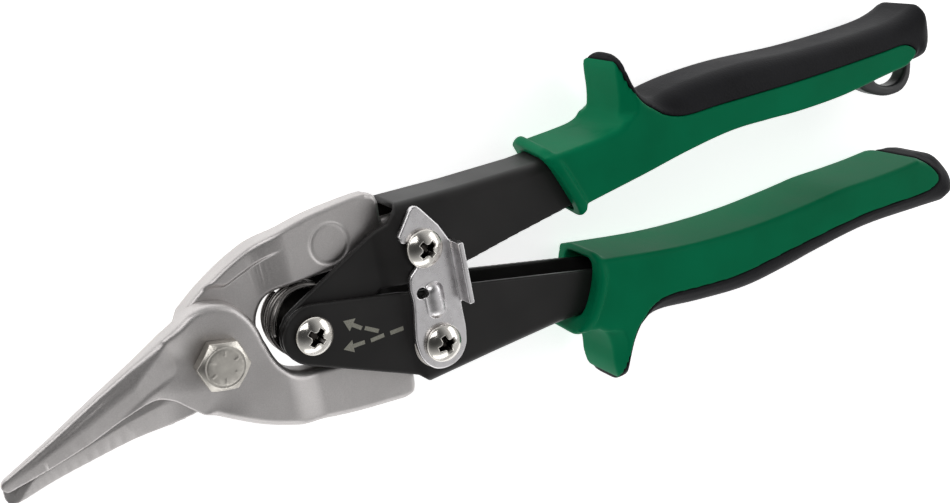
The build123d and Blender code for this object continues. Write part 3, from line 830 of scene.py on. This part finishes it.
def spring():
    """Torsion spring: a close coil whose two ends lap half round it, outside the inner ears."""
    wire = 0.6
    radius = 7.6
    center = (-60.6, 2.1)
    half = 1.8
    lap = 3.02
    knots = [118.0, 160.0, 200.0, 1192.0, 1230.0, 1265.0]
    heights = [-lap, -lap, -half, half, lap, lap]
    points = []
    for a in np.arange(knots[0], knots[-1] + 1, 6.0):
        z = float(np.interp(a, knots, heights))
        points.append((center[0] + radius * math.cos(math.radians(a)),
                       center[1] + radius * math.sin(math.radians(a)), z))
    made = bmesh.new()
    rings = []
    p = [Vector(q) for q in points]
    for i, q in enumerate(p):
        ahead = (p[min(i + 1, len(p) - 1)] - p[max(i - 1, 0)]).normalized()
        side = ahead.cross(Vector((0, 0, 1))).normalized()
        up = side.cross(ahead)
        ring = []
        for k in range(14):
            a = 2 * math.pi * k / 14
            offset = side * math.cos(a) * wire + up * math.sin(a) * wire
            ring.append(made.verts.new((q + offset + Vector((0, 0, MID))) * MM))
        rings.append(ring)
    for a, b in zip(rings, rings[1:]):
        for k in range(14):
            made.faces.new((a[k], a[(k + 1) % 14], b[(k + 1) % 14], b[k]))
    made.faces.new(rings[0][::-1])
    made.faces.new(rings[-1])
    bmesh.ops.recalc_face_normals(made, faces=made.faces)
    mesh = bpy.data.meshes.new("opening_spring_coil")
    made.to_mesh(mesh)
    made.free()
    mesh.shade_smooth()
    return add_object("opening_spring_coil", mesh, "lower_handle", WIRE,
                      ["opening_spring"])


spring()

# ---------------------------------------------------------------- printed arrows


def printed(name, shapes, z, body):
    """Thin printed marks on a flat face."""
    made = bmesh.new()
    for shape in shapes:
        bottom = [made.verts.new((x * MM, y * MM, (MID + z) * MM)) for x, y in shape]
        made.faces.new(bottom)
    bmesh.ops.recalc_face_normals(made, faces=made.faces)
    lifted = bmesh.ops.extrude_face_region(made, geom=list(made.faces))
    tops = [v for v in lifted["geom"] if isinstance(v, bmesh.types.BMVert)]
    bmesh.ops.translate(made, verts=tops, vec=(0, 0, 0.03 * MM))
    bmesh.ops.recalc_face_normals(made, faces=made.faces)
    mesh = bpy.data.meshes.new(name)
    made.to_mesh(mesh)
    made.free()
    return add_object(name, mesh, body, INK, [])


def bar(start, end, width):
    (ax, ay), (bx, by) = start, end
    length = math.hypot(bx - ax, by - ay)
    ox, oy = -(by - ay) / length * width / 2, (bx - ax) / length * width / 2
    return [(ax + ox, ay + oy), (ax - ox, ay - oy), (bx - ox, by - oy), (bx + ox, by + oy)]


def arrow(tip, tail, width, head):
    (ax, ay), (bx, by) = tip, tail
    length = math.hypot(bx - ax, by - ay)
    ux, uy = (bx - ax) / length, (by - ay) / length
    wide = head * 0.62
    points = [(0, 0), (head, wide), (head, width / 2), (length, width / 2), (length, -width / 2),
              (head, -width / 2), (head, -wide)]
    return [(ax + u * ux - v * uy, ay + u * uy + v * ux) for u, v in points]


printed("lever_arrows_print",
        [arrow((-54.0, 0.7), (-50.3, -2.3), 0.9, 2.4), bar((-49.6, -2.5), (-46.7, -4.3), 0.9),
         arrow((-55.3, -5.4), (-50.3, -5.5), 0.9, 2.3), bar((-48.9, -5.7), (-45.7, -5.6), 0.9),
         bar((-44.2, -5.7), (-41.0, -5.7), 0.95)],
        EAR_TOP, "lower_handle")

# ---------------------------------------------------------------- carried-over CAD nodes

NODE_LOOKS = {
    "pivot_washer": BOLT_STEEL, "pivot_lock_nut": BOLT_STEEL, "handle_pivot_nut": NICKEL,
    "upper_link_nut": NICKEL, "lower_link_nut": NICKEL, "spring_sleeve": NICKEL,
    "upper_link_sleeve": BOLT_STEEL, "lower_link_sleeve": BOLT_STEEL,
    "upper_link_spacers": BOLT_STEEL, "lower_link_spacers": BOLT_STEEL, "latch_washer": NICKEL,
}
for name, look in NODE_LOOKS.items():
    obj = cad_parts[name]
    obj.data.materials.clear()
    obj.data.materials.append(look)

# ---------------------------------------------------------------- floor, light and camera

CAMERA_AT = Vector((-144.3, 102.7, 267.3)) * MM
FORWARD = Vector((0.4188, -0.3303, -0.8459))
UP = Vector((0.3125, 0.9270, -0.2073))


def look_at(obj, forward, up):
    back = -forward.normalized()
    right = up.cross(back).normalized()
    obj.matrix_world = (Matrix.Translation(obj.location)
                        @ Matrix((right, back.cross(right), back)).transposed().to_4x4())


camera_data = bpy.data.cameras.new("camera")
camera_data.sensor_width = 36.0
camera_data.lens = LENS_PX / PHOTO_PX * 36.0
camera_data.clip_start = 0.01
camera_data.clip_end = 20.0
camera = bpy.data.objects.new("camera", camera_data)
bpy.context.scene.collection.objects.link(camera)
camera.location = CAMERA_AT
look_at(camera, FORWARD, UP)
bpy.context.scene.camera = camera

floor_mesh = bpy.data.meshes.new("floor")
FLOOR_Z = -0.0003
floor_corners = [(-6, -6, FLOOR_Z), (6, -6, FLOOR_Z), (6, 6, FLOOR_Z), (-6, 6, FLOOR_Z)]
floor_mesh.from_pydata(floor_corners, [], [(0, 1, 2, 3)])
floor = bpy.data.objects.new("floor", floor_mesh)
bpy.context.scene.collection.objects.link(floor)
floor_look, _, floor_bsdf = shader("pale_floor", (0.93, 0.93, 0.93), 0.0, 0.9)
floor_bsdf.inputs["Specular IOR Level"].default_value = 0.1
floor_bsdf.inputs["Emission Color"].default_value = (1, 1, 1, 1)
floor_bsdf.inputs["Emission Strength"].default_value = 0.72
floor_mesh.materials.append(floor_look)


def area_light(name, place, target, size, power):
    data = bpy.data.lights.new(name, "AREA")
    data.shape = "RECTANGLE"
    data.size, data.size_y = size
    data.energy = power
    obj = bpy.data.objects.new(name, data)
    bpy.context.scene.collection.objects.link(obj)
    obj.location = Vector(place)
    look_at(obj, Vector(target) - Vector(place), Vector((0, 1, 0)))
    return obj


area_light("top_left_box", (-0.55, 0.75, 0.75), (0, 0, 0), (0.9, 0.5), 3.6)
area_light("right_box", (0.9, 0.1, 0.55), (0, 0, 0), (0.4, 0.9), 2.0)
area_light("low_front_box", (-0.1, -0.9, 0.45), (0, 0, 0), (0.9, 0.35), 1.2)

world = bpy.data.worlds.new("tent")
bpy.context.scene.world = world
world.use_nodes = True
tree = world.node_tree
background = tree.nodes["Background"]
where = node(tree, "ShaderNodeTexCoord")
dot = node(tree, "ShaderNodeVectorMath", operation="DOT_PRODUCT")
dot.inputs[1].default_value = -FORWARD
tree.links.new(where.outputs["Generated"], dot.inputs[0])
dark = node(tree, "ShaderNodeMapRange", interpolation_type="SMOOTHSTEP")
for key, value in (("From Min", 0.30), ("From Max", 0.95), ("To Min", 0.58), ("To Max", 0.05)):
    dark.inputs[key].default_value = value
tree.links.new(dot.outputs["Value"], dark.inputs["Value"])
tree.links.new(dark.outputs["Result"], background.inputs["Strength"])
background.inputs["Color"].default_value = (1, 1, 1, 1)
bpy.context.scene.view_settings.view_transform = "Standard"
